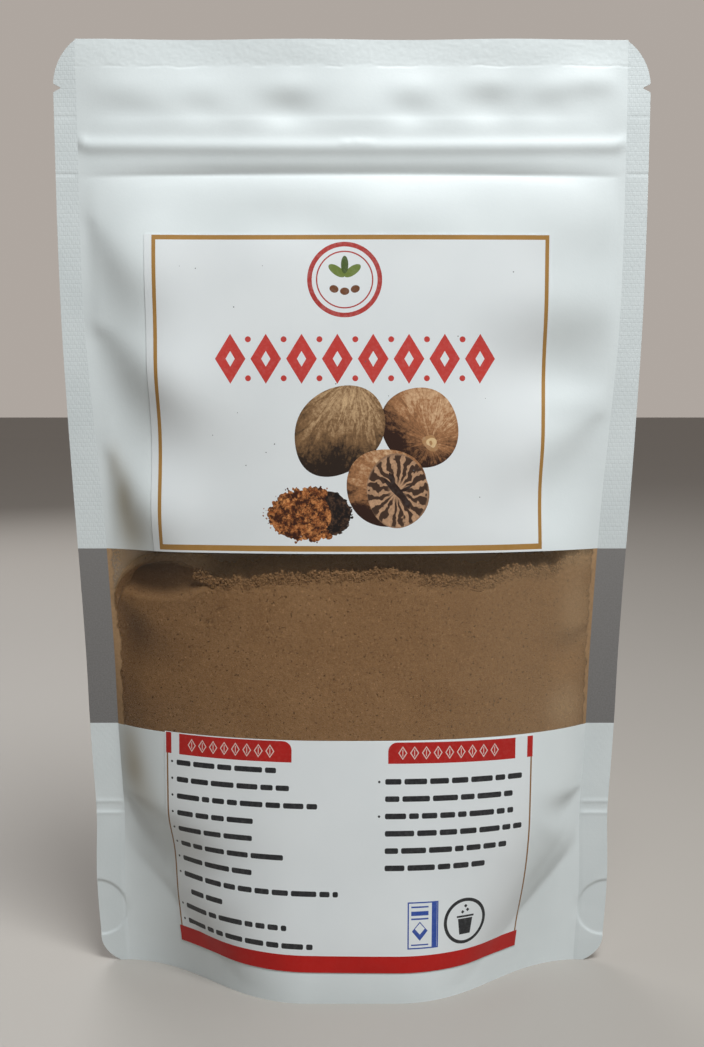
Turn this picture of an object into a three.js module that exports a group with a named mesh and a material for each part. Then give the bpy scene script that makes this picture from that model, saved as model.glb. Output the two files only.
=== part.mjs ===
// A shut stand-up pouch of ground nutmeg with two paper stickers on its front.
// Millimetres, +Z up. The front looks along -Y, and the pouch stands on z = 0.
//
// Both panels are one flat sheet each, bulged by what is inside. A sheet bends but doesn't stretch,
// so its places are given as (across, up) on the flat sheet, and the bulge pulls the sides inwards.

import * as THREE from 'three';

// ---- the flat pouch ----
const POUCH_WIDTH = 130;
const POUCH_HEIGHT = 209;
const SIDE_SEAL = { low: 6.5, high: 5, from: 100, to: 155 };
const SEAL_THICKNESS = 0.8;
const TOP_CORNER = { across: 5.4, up: 10.2, round: 0.85 };
const BOTTOM_CORNER = { across: 4.3, up: 5.6, round: 0.84 };
const TEAR_NOTCH = { up: 198.8, depth: 1.8, halfHeight: 0.9 };

// ---- the filled pouch ----
// How far the middle of a panel stands out from the seals: [height, depth].
const BULGE = [
  [0, 22], [30, 18.4], [57, 14.6], [75, 12], [97, 9.2], [130, 6.4], [150, 4.7], [165, 3.3], [174, 2.1],
  [180.5, 1.2], [182.8, 1.36], [185, 1.34], [189.5, 1.25], [191.8, 1.15], [192.9, 1], [195, 0.85], [199, 0.5],
  [202.6, 0.12], [204, 0], [POUCH_HEIGHT, 0],
];
// The same for a sheet without creases: it sets how far the sides are drawn in.
const FULL_BULGE = [
  [0, 22], [30, 20.3], [57, 18.1], [75, 17], [97, 14.6], [130, 9.6], [150, 5.7], [165, 3.3], [174, 2.1],
  [185, 1.4], [204, 0], [POUCH_HEIGHT, 0],
];
const ZIP_RIDGE = { up: 186.8, halfHeight: 1.6, depth: 0.42, end: 1.5 };
const ZIP_CREASE = { up: 180.2, halfHeight: 1.9, share: 0.45 };
const SECTION_POWER = 2.4;
const FOOT = { flat: 0.17, end: 1.03 };
const TOP_WAVE = { depth: 0.6, length: 46, from: 192 };

// The curved weld that holds the gusset to a panel climbs from the foot to the fold on the side seals.
const GUSSET = { skirt: 4, top: 38.5, from: 25, power: 1.15 };
// Above the weld the level section grows rounder, from just below the weld to just above the fold.
const ROUNDING = { weldShare: 0.8, below: 1, above: 3.5, power: 1.8 };

// Tucks: fans that start at a pinch in the side seal. turn is the way the valley runs, in degrees above
// the horizontal, seen from the pinch, and share is how much of the panel's depth the valley takes away.
const FRONT_TUCKS = [
  { side: -1, up: 173, reach: 38, turn: -100, share: 0.88 },
  { side: -1, up: 149, reach: 48, turn: -84, share: 0.95 },
  { side: -1, up: 122.3, reach: 46, turn: -102, share: 0.95 },
  { side: -1, up: 87, reach: 26, turn: -75, share: 0.45 },
  { side: -1, up: 41, reach: 34, turn: -62, share: 0.58 },
  { side: 1, up: 129, reach: 36, turn: -76, share: 0.8 },
  { side: 1, up: 80, reach: 16, turn: -50, share: 0.3 },
  { side: 1, up: 42, reach: 14, turn: -50, share: 0.35 },
];
const BACK_TUCKS = [
  { side: -1, up: 158, reach: 34, turn: -75, share: 0.6 },
  { side: 1, up: 141, reach: 38, turn: -82, share: 0.8 },
  { side: -1, up: 112, reach: 34, turn: -85, share: 0.7 },
  { side: 1, up: 96, reach: 28, turn: -80, share: 0.45 },
  { side: -1, up: 41, reach: 24, turn: -62, share: 0.45 },
];
// A tuck's half width above and below its valley, and where it starts and fades, as shares of its reach.
const TUCK_ABOVE = { point: 0.03, growth: 0.6 };
const TUCK_BELOW = { point: 0.04, growth: 0.5 };
const TUCK_RUN = { full: 0.08, fades: 0.3 };
const TUCK_PULL = 0.3;

// Soft dents take a share of the depth away, and soft puffs add to it.
const FRONT_DENTS = [
  { across: -14, up: 171, wide: 13, high: 6, share: 0.22 },
  { across: 52, up: 138, wide: 18, high: 10.5, share: 0.88 },
];
const BACK_DENTS = [
  { across: 8, up: 128, wide: 26, high: 16, share: 0.12 },
  { across: -20, up: 84, wide: 22, high: 14, share: 0.06 },
];
const FRONT_PUFFS = [
  { across: -47, up: 160, wide: 11, high: 13, depth: 2.1 },
  { across: -43, up: 134, wide: 12, high: 13, depth: 2.7 },
  { across: -46, up: 108, wide: 11, high: 12, depth: 2.2 },
  { across: 50, up: 151.5, wide: 16, high: 9, depth: 0.8 },
  { across: 50, up: 171.5, wide: 13, high: 9, depth: 0.8 },
  { across: 8, up: 172, wide: 16, high: 6, depth: 0.5 },
  { across: 52, up: 132, wide: 9, high: 4, depth: 0.8 },
];
const BACK_PUFFS = [
  { across: 50, up: 171, wide: 12, high: 6, depth: 1.2 },
  { across: -46, up: 171, wide: 12, high: 6, depth: 1 },
];
const PUFF_EDGE = 4;

// ---- the hollow under each end of the foot, below the gusset ----
const HOLLOW = { from: 34, to: 52, top: 26, wall: 1, wallShare: 0.25 };

// ---- the stickers: centre across, bottom edge, size, and tilt in degrees ----
const UPPER_LABEL = { across: -0.9, up: 97.75, width: 89, height: 69.6, tilt: 0 };
const LOWER_LABEL = { across: -0.9, up: 6.95, width: 85.5, height: 50, tilt: -0.5 };
const LABEL_GAP = 0.5;
const LABEL_THICKNESS = 0.3;
const LABEL_CELL = 4.3;

// ---- how finely the shapes are cut ----
const PANEL_CELLS = 26;
const EDGE_FINENESS = 1.25;
const SEAL_CELLS = 2;
const ARC_STEPS = 4;
const GUSSET_ROWS = 7;
const PANEL_ROWS = 24;
const ZIP_ROWS = [176, 178.3, 180.2, 182.1, 184];
const HEAD_ROWS = [190.2, 191.8, 193, 195.5];
const ROW_GAP = 0.5;
const FOOT_CELLS = 6;
const SHEET_STEP = 1;
const NORMAL_REACH = 0.5;

const HALF_SHEET = POUCH_WIDTH / 2;

function smooth(from, to, x) {
  const v = THREE.MathUtils.clamp((x - from) / (to - from), 0, 1);
  return v * v * (3 - 2 * v);
}

// A smooth curve through [x, y] knots, level at both ends.
function along(knots, x) {
  const last = knots.length - 1;
  if (x <= knots[0][0]) return knots[0][1];
  if (x >= knots[last][0]) return knots[last][1];
  const slope = (k) => (k === 0 || k === last ? 0
    : (knots[k + 1][1] - knots[k - 1][1]) / (knots[k + 1][0] - knots[k - 1][0]));
  const k = knots.findIndex((knot) => knot[0] > x) - 1;
  const span = knots[k + 1][0] - knots[k][0];
  const v = (x - knots[k][0]) / span;
  const rise = v * v * (3 - 2 * v);
  const leave = v * (1 - v) * (1 - v) * span;
  const arrive = v * v * (v - 1) * span;
  return knots[k][1] * (1 - rise) + knots[k + 1][1] * rise + slope(k) * leave + slope(k + 1) * arrive;
}

// Half the open width between the side seals, which are narrower near the top.
function halfPanel(up) {
  const narrower = (SIDE_SEAL.low - SIDE_SEAL.high) * smooth(SIDE_SEAL.from, SIDE_SEAL.to, up);
  return HALF_SHEET - SIDE_SEAL.low + narrower;
}

// The height of the gusset's weld.
function gussetWeld(across) {
  const share = Math.max(Math.abs(across) - GUSSET.from, 0) / (HALF_SHEET - SIDE_SEAL.low - GUSSET.from);
  return GUSSET.skirt + (GUSSET.top - GUSSET.skirt) * share ** GUSSET.power;
}

// The level section of a panel, 1 in the middle and 0 at the seals: from a bell (share 0) to a rounder one.
function section(across, up, share) {
  const u = Math.min(Math.abs(across) / halfPanel(up), 1);
  const bell = 1 - smooth(FOOT.flat, FOOT.end, u);
  return bell + (1 - u ** SECTION_POWER - bell) * share;
}

// How far a panel stands out from the seal plane before its puffs, tucks and dents.
function bulge(across, up) {
  const start = ROUNDING.weldShare * gussetWeld(across) - ROUNDING.below;
  const share = THREE.MathUtils.clamp((up - start) / (GUSSET.top + ROUNDING.above - start), 0, 1);
  return along(BULGE, up) * section(across, up, 1 - (1 - share) ** ROUNDING.power);
}

function tuckShare(tuck, across, up) {
  const turn = THREE.MathUtils.degToRad(tuck.turn);
  const inwards = halfPanel(tuck.up) - tuck.side * across;
  const rise = up - tuck.up;
  const run = (inwards * Math.cos(turn) + rise * Math.sin(turn)) / tuck.reach;
  const off = (rise * Math.cos(turn) - inwards * Math.sin(turn)) / tuck.reach;
  if (run <= 0 || run >= 1) return 0;
  const flank = off > 0 ? TUCK_ABOVE : TUCK_BELOW;
  const width = flank.point + flank.growth * run;
  const fade = Math.min(run / TUCK_RUN.full, 1) * (1 - smooth(TUCK_RUN.fades, 1, run));
  return tuck.share * Math.exp(-((off / width) ** 2)) * fade;
}

function spread(spot, across, up) {
  return Math.exp(-(((across - spot.across) / spot.wide) ** 2) - ((up - spot.up) / spot.high) ** 2);
}

// A ridge or crease along the zip, 1 on its line and 0 from its half height away.
function strip({ up: line, halfHeight }, up) {
  return Math.max(0, 1 - Math.abs(up - line) / halfHeight);
}

const FRONT = { facing: -1, tucks: FRONT_TUCKS, dents: FRONT_DENTS, puffs: FRONT_PUFFS };
const BACK = { facing: 1, tucks: BACK_TUCKS, dents: BACK_DENTS, puffs: BACK_PUFFS };

function panelDepth(panel, across, up) {
  const half = halfPanel(up);
  const free = 1 - smooth(half - PUFF_EDGE, half, Math.abs(across));
  const ridgeEnds = 1 - smooth(half - ZIP_RIDGE.end, half, Math.abs(across));
  let depth = bulge(across, up);
  for (const puff of panel.puffs) depth += puff.depth * spread(puff, across, up) * free;
  for (const tuck of panel.tucks) depth *= 1 - tuckShare(tuck, across, up);
  for (const dent of panel.dents) depth *= 1 - dent.share * spread(dent, across, up);
  depth += ZIP_RIDGE.depth * strip(ZIP_RIDGE, up) * ridgeEnds;
  return depth * (1 - ZIP_CREASE.share * strip(ZIP_CREASE, up));
}

// The sealed sheets' gentle wave at the top.
function wave(across, up) {
  const phase = (2 * Math.PI * across) / TOP_WAVE.length;
  return TOP_WAVE.depth * Math.sin(phase) * smooth(TOP_WAVE.from, POUCH_HEIGHT, up);
}

// Where a place on the flat sheet comes to lie from side to side: the bulge draws it inwards.
function drawnIn(across, up) {
  const half = halfPanel(up);
  const reach = Math.min(Math.abs(across), half);
  const fullness = smooth(0, GUSSET.top, up);
  const fullDepth = (place) => along(FULL_BULGE, up) * section(place, up, fullness);
  const steps = Math.max(1, Math.ceil(reach / SHEET_STEP));
  const step = reach / steps;
  let x = Math.abs(across) - reach;
  let before = fullDepth(0);
  for (let i = 1; i <= steps; i += 1) {
    const depth = fullDepth(step * i);
    x += Math.sqrt(step ** 2 - (depth - before) ** 2);
    before = depth;
  }
  return Math.sign(across) * x;
}

// A point of the front or back panel. Its tucks pull the sheet inwards as well as down.
function panelPoint(panel, across, up) {
  let x = drawnIn(across, up);
  for (const tuck of panel.tucks) {
    x -= tuck.side * TUCK_PULL * tuckShare(tuck, across, up) * bulge(across, up);
  }
  const y = wave(across, up) + panel.facing * (SEAL_THICKNESS / 2 + panelDepth(panel, across, up));
  return new THREE.Vector3(x, y, up);
}

// How far a round corner cuts in; a round of less than 1 ends before the arc turns level.
function cornerInset(corner, fromEnd) {
  const v = corner.round * (1 - Math.min(fromEnd / corner.up, 1));
  const whole = 1 - Math.sqrt(1 - corner.round ** 2);
  return (corner.across * (1 - Math.sqrt(1 - v * v))) / whole;
}

// Half the flat sheet's width at a height, with its round corners and tear notches.
function halfWidth(up) {
  const notch = Math.max(0, 1 - Math.abs(up - TEAR_NOTCH.up) / TEAR_NOTCH.halfHeight);
  return HALF_SHEET - TEAR_NOTCH.depth * notch
    - cornerInset(TOP_CORNER, POUCH_HEIGHT - up) - cornerInset(BOTTOM_CORNER, up);
}

// The heights of the rows of the mesh, close together where the shape turns sharply.
function rowHeights() {
  const arc = (up, from, way) => Array.from({ length: ARC_STEPS }, (_, k) => {
    const angle = ((k / ARC_STEPS) * Math.PI) / 2;
    return from + way * up * (1 - Math.cos(angle));
  });
  const even = (from, to, count) => Array.from({ length: count }, (_, k) => from + ((to - from) * k) / count);
  const around = ({ up, halfHeight }) => [up - halfHeight, up, up + halfHeight];
  const notch = around(TEAR_NOTCH);
  const top = arc(TOP_CORNER.up, POUCH_HEIGHT, -1).filter((up) => up > notch[2] + ROW_GAP);
  return [
    ...arc(BOTTOM_CORNER.up, 0, 1),
    ...even(BOTTOM_CORNER.up, GUSSET.top, GUSSET_ROWS),
    ...even(GUSSET.top, ZIP_ROWS[0], PANEL_ROWS),
    ...ZIP_ROWS, ...around(ZIP_RIDGE), ...HEAD_ROWS, ...notch,
    ...top.reverse(),
  ];
}

// The places across the sheet at one height: finer cells towards the panel's sides, and the seals beside it.
function rowPlaces(up) {
  const half = halfPanel(up);
  const panel = Array.from({ length: PANEL_CELLS + 1 }, (_, k) => {
    const share = (2 * k) / PANEL_CELLS - 1;
    return Math.sign(share) * half * (1 - (1 - Math.abs(share)) ** EDGE_FINENESS);
  });
  const edge = halfWidth(up);
  const seal = Array.from({ length: SEAL_CELLS }, (_, k) => half + ((edge - half) * (k + 1)) / SEAL_CELLS);
  return [...seal.map((place) => -place).reverse(), ...panel, ...seal];
}

// A closed mesh between two grids of points with the same rows and columns. underside gives, for each
// column, the points of the way from the outer grid's first row to the inner grid's.
function closedMesh(outer, inner, underside) {
  const points = [];
  const faces = [];
  const add = (point) => points.push(point) - 1;
  const a = outer.map((row) => row.map(add));
  const b = inner.map((row) => row.map(add));
  const quad = (p, q, r, s) => faces.push(p, q, r, p, r, s);
  const rows = a.length - 1;
  const columns = a[0].length - 1;
  for (let j = 0; j < rows; j += 1) {
    for (let i = 0; i < columns; i += 1) {
      quad(a[j][i], a[j][i + 1], a[j + 1][i + 1], a[j + 1][i]);
      quad(b[j][i + 1], b[j][i], b[j + 1][i], b[j + 1][i + 1]);
    }
    quad(b[j][0], a[j][0], a[j + 1][0], b[j + 1][0]);
    quad(a[j][columns], b[j][columns], b[j + 1][columns], a[j + 1][columns]);
  }
  for (let i = 0; i < columns; i += 1) quad(a[rows][i], a[rows][i + 1], b[rows][i + 1], b[rows][i]);

  const between = a[0].map((_, i) => (underside ? underside(i).map(add) : []));
  const paths = between.map((middle, i) => [a[0][i], ...middle, b[0][i]]);
  for (let i = 0; i < columns; i += 1) {
    for (let k = 0; k < paths[i].length - 1; k += 1) {
      quad(paths[i][k], paths[i][k + 1], paths[i + 1][k + 1], paths[i + 1][k]);
    }
  }
  // Each end column's path lies on the line between the grids, so its fan of slivers closes the rim.
  const [left, right] = [paths[0], paths[columns]];
  for (let k = 1; k < left.length - 1; k += 1) {
    faces.push(left[0], left[k + 1], left[k]);
    faces.push(right[0], right[k], right[k + 1]);
  }
  const geometry = new THREE.BufferGeometry();
  geometry.setAttribute('position', new THREE.Float32BufferAttribute(points.flatMap((p) => p.toArray()), 3));
  geometry.setIndex(faces);
  geometry.computeVertexNormals();
  return geometry;
}

function pouch() {
  const rows = rowHeights();
  const grid = (panel) => rows.map((up) => rowPlaces(up).map((across) => panelPoint(panel, across, up)));
  const front = grid(FRONT);
  const back = grid(BACK);
  const feet = rowPlaces(0);
  // A point between the panels, at a share of the way from front to back, with a wall left on each.
  const inside = (across, up, wall, share) => {
    const from = panelPoint(FRONT, across, up);
    const to = panelPoint(BACK, across, up);
    const left = Math.min(wall, (to.y - from.y) * HOLLOW.wallShare);
    from.y += left;
    to.y -= left;
    return from.lerp(to, share);
  };
  // Across the foot from front to back: level in the middle of the pouch, up into the hollow at its ends.
  const level = Array.from({ length: FOOT_CELLS - 1 }, (_, k) => (k + 1) / FOOT_CELLS);
  const underside = (i) => {
    const share = (Math.abs(feet[i]) - HOLLOW.from) / (HOLLOW.to - HOLLOW.from);
    if (share <= 0 || share >= 1) return level.map((k) => inside(feet[i], 0, 0, k));
    const top = HOLLOW.top * share;
    return [[0, 0], [top, 0], [top, 0.5], [top, 1], [0, 1]].map(([up, k]) =>
      inside(feet[i], up, HOLLOW.wall, k));
  };
  return closedMesh(front, back, underside);
}

// The unit normal of the front panel, pointing out of the pouch.
function frontNormal(across, up) {
  const at = (right, rise) => panelPoint(FRONT, across + right, up + rise);
  const sideways = at(NORMAL_REACH, 0).sub(at(-NORMAL_REACH, 0));
  const upwards = at(0, NORMAL_REACH).sub(at(0, -NORMAL_REACH));
  return sideways.cross(upwards).normalize();
}

// A sticker: a thin skin that follows the front panel at a small gap.
function label({ across, up, width, height, tilt }) {
  const columns = Math.ceil(width / LABEL_CELL);
  const rows = Math.ceil(height / LABEL_CELL);
  const turn = THREE.MathUtils.degToRad(tilt);
  const place = (i, j, lift) => {
    const right = width * (i / columns - 0.5);
    const rise = height * (j / rows - 0.5);
    const s = across + right * Math.cos(turn) - rise * Math.sin(turn);
    const t = up + height / 2 + right * Math.sin(turn) + rise * Math.cos(turn);
    return panelPoint(FRONT, s, t).addScaledVector(frontNormal(s, t), lift);
  };
  const grid = (lift) => Array.from({ length: rows + 1 }, (_, j) =>
    Array.from({ length: columns + 1 }, (_, i) => place(i, j, lift)));
  return closedMesh(grid(LABEL_GAP + LABEL_THICKNESS), grid(LABEL_GAP));
}

function mesh(name, geometry, look) {
  const piece = new THREE.Mesh(geometry, new THREE.MeshStandardMaterial(look));
  piece.name = name;
  return piece;
}

const FILM_LOOK = { color: 0xdfe4e4, roughness: 0.5, metalness: 0 };
const PAPER_LOOK = { color: 0xe9eeef, roughness: 0.6, metalness: 0 };

const model = new THREE.Group();
model.add(mesh('pouch', pouch(), FILM_LOOK));
model.add(mesh('label_upper', label(UPPER_LABEL), PAPER_LOOK));
model.add(mesh('label_lower', label(LOWER_LABEL), PAPER_LOOK));

export default model;
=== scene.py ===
import math

import bpy
import numpy as np
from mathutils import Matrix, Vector
from mathutils.geometry import delaunay_2d_cdt


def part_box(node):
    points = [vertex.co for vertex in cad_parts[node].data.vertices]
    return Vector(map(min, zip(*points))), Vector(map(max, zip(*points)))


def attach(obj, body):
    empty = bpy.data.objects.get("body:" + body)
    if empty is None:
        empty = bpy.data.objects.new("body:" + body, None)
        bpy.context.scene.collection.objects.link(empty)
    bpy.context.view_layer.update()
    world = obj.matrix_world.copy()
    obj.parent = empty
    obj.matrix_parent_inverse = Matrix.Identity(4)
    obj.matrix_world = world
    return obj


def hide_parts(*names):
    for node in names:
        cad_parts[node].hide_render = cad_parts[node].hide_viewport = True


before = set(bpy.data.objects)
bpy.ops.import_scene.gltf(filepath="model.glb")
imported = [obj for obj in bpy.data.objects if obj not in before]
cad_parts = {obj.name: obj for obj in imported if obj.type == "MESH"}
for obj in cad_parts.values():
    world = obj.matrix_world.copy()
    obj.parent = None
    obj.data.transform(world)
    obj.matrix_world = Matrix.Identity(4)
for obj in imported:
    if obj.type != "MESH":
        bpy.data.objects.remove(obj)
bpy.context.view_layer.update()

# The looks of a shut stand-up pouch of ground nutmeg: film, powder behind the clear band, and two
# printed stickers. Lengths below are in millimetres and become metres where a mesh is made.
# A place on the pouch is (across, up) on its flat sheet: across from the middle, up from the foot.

MM = 0.001
SHEET_UV = 100                      # millimetres of sheet for each unit of its map

# ---------------------------------------------------------------- sizes, from the frame
POUCH_LOW, POUCH_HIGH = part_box("pouch")
HALF_SHEET = (POUCH_HIGH[0] - POUCH_LOW[0]) / MM / 2
HEIGHT = (POUCH_HIGH[2] - POUCH_LOW[2]) / MM
HALF_PANEL = HALF_SHEET - 6.5       # half the open width, low down where the side seals are widest
NARROWER_SEAL = {"by": 1.5, "from": 100.0, "to": 155.0}
SEAL_HALF = 0.3                     # half the thickness of the two welded films
FILM = 0.18                         # thickness of one film

WINDOW_LOW, WINDOW_HIGH = 57.0, 97.7
GUSSET_TOP = 38.5                   # the fold of the gusset, seen on the side seals
GUSSET_SKIRT = 4.0                  # height of the weld along the middle of the foot
GUSSET_FROM = 25.0                  # where the gusset's weld starts to climb, across
WELD_SPOT = {"up": 12.9, "radius": 6.6}
KNURL = {"wide": 1.7, "high": 0.95}     # the bricks of the side seals
TOP_SEAL_FROM = 203.4
TOP_CORNER = {"across": 5.4, "up": 10.2, "round": 0.85}
BOTTOM_CORNER = {"across": 4.3, "up": 5.6, "round": 0.84}
TEAR_NOTCH = {"up": 198.8, "depth": 1.8, "half": 0.9}

# How far the middle of a panel stands out from the seals: (height, depth).
BULGE = [
    (0, 22), (30, 18.4), (57, 14.6), (75, 12), (97, 9.2), (130, 6.4), (150, 4.7), (165, 3.3), (174, 2.1),
    (180.5, 1.2), (182.8, 1.36), (185, 1.34), (189.5, 1.25), (191.8, 1.15), (192.9, 1.0), (195, 0.85),
    (199, 0.5), (202.6, 0.12), (204, 0.0), (HEIGHT, 0.0),
]
# The same for a sheet without creases: it sets how far the sides are drawn in.
FULL_BULGE = [
    (0, 22), (30, 20.3), (57, 18.1), (75, 17), (97, 14.6), (130, 9.6), (150, 5.7), (165, 3.3), (174, 2.1),
    (185, 1.4), (204, 0), (HEIGHT, 0),
]
SECTION_POWER = 2.4
FOOT_FLAT, FOOT_END = 0.17, 1.03
ZIP_RIDGE = {"up": 186.6, "half": 1.6, "depth": 0.46, "sag": 0.5}
ZIP_TOP = 192.6                     # where the zip's strip is welded to the film
ZIP_CREASE = {"up": 180.4, "depth": 0.65, "above": 1.4, "below": 2.0, "sag": 0.45}

# Tucks pinched at a side seal: (side, height, reach, turn of the valley in degrees, share taken).
FRONT_TUCKS = [
    (-1, 173, 38, -100, 0.88), (-1, 149, 48, -84, 0.95), (-1, 122.3, 46, -102, 0.95), (-1, 87, 26, -75, 0.45),
    (-1, 41, 34, -62, 0.58), (1, 129, 36, -76, 0.8), (1, 80, 16, -50, 0.3), (1, 42, 14, -50, 0.35),
]
BACK_TUCKS = [
    (-1, 158, 34, -75, 0.6), (1, 141, 38, -82, 0.8), (-1, 112, 34, -85, 0.7),
    (1, 96, 28, -80, 0.45), (-1, 41, 24, -62, 0.45),
]
# A tuck's half width above and below its valley: at its point, and its growth to the end, by its reach.
TUCK_ABOVE, TUCK_BELOW = (0.03, 0.6), (0.04, 0.5)
TUCK_PULL = 0.3                     # how far a tuck draws the sheet inwards, per millimetre of depth

# Soft dents, with the share of the depth they take away: (across, up, half width, half height, share).
FRONT_DENTS = [
    (-50, 193.9, 8, 2.4, 0.65), (-33, 194.2, 5, 2.8, 0.5), (-14, 194.0, 6, 3.2, 0.75),
    (13, 194.0, 5, 3.0, 0.6), (29.5, 195, 5.5, 3.4, 0.7), (43, 194.2, 4.5, 2.8, 0.55),
    (53, 195, 5.5, 3.8, 0.85), (-14, 171, 13, 6, 0.22), (52, 138, 18, 10.5, 0.88),
]
BACK_DENTS = [
    (-44, 194, 6, 3, 0.5), (6, 194, 6, 3, 0.5), (33, 194, 5, 3, 0.5), (8, 128, 26, 16, 0.12),
    (-20, 84, 22, 14, 0.06),
]
# Soft puffs, with their height: (across, up, half width, half height, height).
FRONT_PUFFS = [
    (-50, 199, 8, 3, 0.2), (-33, 199, 5, 3, 0.15), (-14, 199, 6, 3, 0.3), (13, 199, 5, 3, 0.25),
    (30, 199.5, 6, 3, 0.35), (43, 199, 5, 3, 0.25), (52, 199.8, 7, 3.2, 0.5), (50, 151.5, 16, 9, 0.8),
    (-47, 160, 11, 13, 2.1), (-43, 134, 12, 13, 2.7), (-46, 108, 11, 12, 2.2), (50, 171.5, 13, 9, 0.8),
    (8, 172, 16, 6, 0.5), (52, 132, 9, 4, 0.8),
    (-1.4, 187, 0.9, 0.8, 0.14), (1.2, 187.2, 0.9, 0.8, 0.16), (3.6, 187, 0.9, 0.8, 0.12),
]
BACK_PUFFS = [(-18, 197, 5, 4, 0.2), (50, 171, 12, 6, 1.2), (-46, 171, 12, 6, 1.0)]

# The stickers: centre across, bottom edge, width, height and tilt in degrees, as in the frame's nodes.
# Their print is laid out on a sheet of the size called drawn, and then fitted to the sticker.
UPPER_LABEL = {"across": -0.9, "up": 97.75, "width": 89, "height": 69.6, "tilt": 0, "drawn": (88, 69)}
LOWER_LABEL = {"across": -0.9, "up": 6.95, "width": 85.5, "height": 50, "tilt": -0.5, "drawn": (85, 51)}
PAPER, GLUE = 0.12, 0.03            # thickness of the paper and of the gap behind it


# ---------------------------------------------------------------- the shape of the sheet
def smooth(start, end, x):
    v = np.clip((x - start) / (end - start), 0, 1)
    return v * v * (3 - 2 * v)


def along(knots, x):
    """A smooth curve through (x, y) knots, level at both ends."""
    xs, ys = np.array(knots, float).T
    slopes = np.zeros(len(xs))
    slopes[1:-1] = (ys[2:] - ys[:-2]) / (xs[2:] - xs[:-2])
    x = np.clip(x, xs[0], xs[-1])
    k = np.clip(np.searchsorted(xs, x, side="right") - 1, 0, len(xs) - 2)
    span = xs[k + 1] - xs[k]
    v = (x - xs[k]) / span
    rise = v * v * (3 - 2 * v)
    ends = slopes[k] * v * (1 - v) ** 2 + slopes[k + 1] * v * v * (v - 1)
    return ys[k] * (1 - rise) + ys[k + 1] * rise + ends * span


def noise(x, y, size, seed):
    """Soft random heights from -1 to 1, with lumps about size across."""
    side = 64
    heights = np.random.default_rng(seed).random((side, side)) * 2 - 1
    gx, gy = x / size + 1000, y / size + 1000
    ix, iy = np.floor(gx).astype(int), np.floor(gy).astype(int)
    fx, fy = smooth(0, 1, gx - ix), smooth(0, 1, gy - iy)
    corner = lambda a, b: heights[(ix + a) % side, (iy + b) % side]
    low = corner(0, 0) * (1 - fx) + corner(1, 0) * fx
    high = corner(0, 1) * (1 - fx) + corner(1, 1) * fx
    return low * (1 - fy) + high * fy


def half_panel(up):
    """Half the open width between the side seals, which are narrower near the top."""
    return HALF_PANEL + NARROWER_SEAL["by"] * smooth(NARROWER_SEAL["from"], NARROWER_SEAL["to"], up)


def gusset_weld(across):
    """The height of the curved weld that holds the gusset to a panel."""
    share = np.maximum(np.abs(across) - GUSSET_FROM, 0) / (HALF_PANEL - GUSSET_FROM)
    return GUSSET_SKIRT + (GUSSET_TOP - GUSSET_SKIRT) * share**1.15


def section(across, up, share):
    """The level section of a panel, from a bell at the foot (share 0) to a rounder one (share 1)."""
    u = np.minimum(np.abs(across) / half_panel(up), 1)
    bell = 1 - smooth(FOOT_FLAT, FOOT_END, u)
    return bell + (1 - u**SECTION_POWER - bell) * share


def bulge(across, up):
    """The depth of a panel without its tucks: it stands out above the gusset's weld."""
    start = 0.8 * gusset_weld(across) - 1
    share = np.clip((up - start) / (GUSSET_TOP + 3.5 - start), 0, 1)
    return along(BULGE, up) * section(across, up, 1 - (1 - share) ** 1.8)


def drawn_in_table():
    """How far from the middle each place on the sheet comes to lie, because a sheet doesn't stretch."""
    share = np.linspace(0, 1, 119)[None, :]
    up = np.linspace(0, HEIGHT, 419)[:, None]
    across = share * half_panel(up)
    depths = along(FULL_BULGE, up) * section(across, up, smooth(0, GUSSET_TOP, up))
    steps = np.sqrt(np.diff(across, axis=1) ** 2 - np.diff(depths, axis=1) ** 2)
    return np.concatenate([np.zeros((len(up), 1)), np.cumsum(steps, axis=1)], axis=1)


DRAWN_IN = drawn_in_table()


def drawn_in(across, up):
    rows, columns = DRAWN_IN.shape
    size, half = np.abs(across), half_panel(up)
    a = np.clip(size / half, 0, 1) * (columns - 1)
    b = np.clip(up / HEIGHT, 0, 1) * (rows - 1)
    i, j = np.minimum(a.astype(int), columns - 2), np.minimum(b.astype(int), rows - 2)
    a, b = a - i, b - j
    low = DRAWN_IN[j, i] * (1 - a) + DRAWN_IN[j, i + 1] * a
    high = DRAWN_IN[j + 1, i] * (1 - a) + DRAWN_IN[j + 1, i + 1] * a
    return np.sign(across) * (low * (1 - b) + high * b + np.maximum(size - half, 0))


def tuck_share(tuck, across, up):
    """What a tuck takes of the depth: a fan from a point on the seal, on both sides of its valley."""
    side, height, reach, turn, depth = tuck
    turn = math.radians(turn)
    inwards = half_panel(height) - side * across
    rise = up - height
    run = (inwards * math.cos(turn) + rise * math.sin(turn)) / reach
    off = (rise * math.cos(turn) - inwards * math.sin(turn)) / reach
    open_share = np.clip(run, 0, 1)
    above, below = (start + growth * open_share for start, growth in (TUCK_ABOVE, TUCK_BELOW))
    width = np.where(off > 0, above, below)
    return depth * np.exp(-((off / width) ** 2)) * np.clip(run / 0.08, 0, 1) * (1 - smooth(0.3, 1, run))


def spread(across, up, spot):
    middle, height, wide, high = spot[:4]
    return np.exp(-(((across - middle) / wide) ** 2) - ((up - height) / high) ** 2)


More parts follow.
